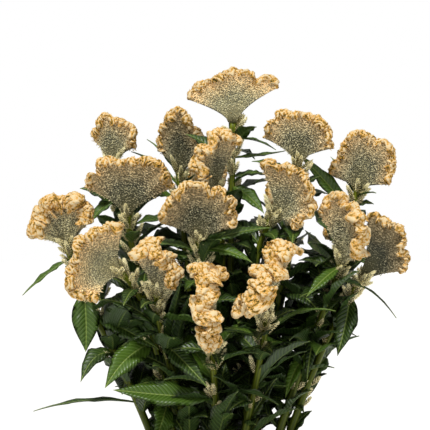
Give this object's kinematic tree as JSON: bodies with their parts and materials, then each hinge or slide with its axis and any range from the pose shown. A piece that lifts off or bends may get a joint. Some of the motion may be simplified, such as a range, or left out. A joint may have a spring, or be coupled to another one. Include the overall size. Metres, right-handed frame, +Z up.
{
  "type": "potted cockscomb celosia",
  "caption": "Bushy cockscomb celosia in a plain tapered terracotta pot, with leafy stems that each end in a folded, fan-shaped cream crest.",
  "frame": {"origin": "centre of the pot's flat base, on the surface that it stands on", "axes": "+Z up the plant, -Y out of its front, the side that the picture shows, +X to the right in it"},
  "size_m": [0.3862, 0.2982, 0.5338],
  "materials": {
    "terracotta": "matt, unglazed",
    "soil": "crumbled",
    "foliage": "satin",
    "crest": "velvety"
  },
  "bodies": {
    "root": {"pot": "terracotta", "soil": "soil", "stem_top": "foliage", "crest_top": "crest", "stem_upper_right": "foliage", "crest_upper_right": "crest", "stem_right": "foliage", "crest_right": "crest", "stem_upper_left": "foliage", "crest_upper_left": "crest", "stem_back_left": "foliage", "crest_back_left": "crest", "stem_inner_left": "foliage", "crest_inner_left": "crest", "stem_left": "foliage", "crest_left": "crest", "stem_centre": "foliage", "crest_centre": "crest", "stem_inner_right": "foliage", "crest_inner_right": "crest", "stem_far_left": "foliage", "crest_far_left": "crest", "stem_low_left": "foliage", "crest_low_left": "crest", "stem_low_inner_left": "foliage", "crest_low_inner_left": "crest", "stem_front": "foliage", "crest_front": "crest", "stem_front_right": "foliage", "crest_front_right": "crest", "stem_low_right": "foliage", "crest_low_right": "crest", "stem_far_right": "foliage", "crest_far_right": "crest", "stem_rear_centre": "foliage", "crest_rear_centre": "crest", "stem_rear_left": "foliage", "crest_rear_left": "crest", "stem_rear_right": "foliage", "crest_rear_right": "crest", "stem_rear_far_left": "foliage", "crest_rear_far_left": "crest", "stem_rear_mid_left": "foliage", "crest_rear_mid_left": "crest", "stem_rear_mid_right": "foliage", "crest_rear_mid_right": "crest", "stem_rear_low": "foliage", "crest_rear_low": "crest"}
  },
  "joints": []
}
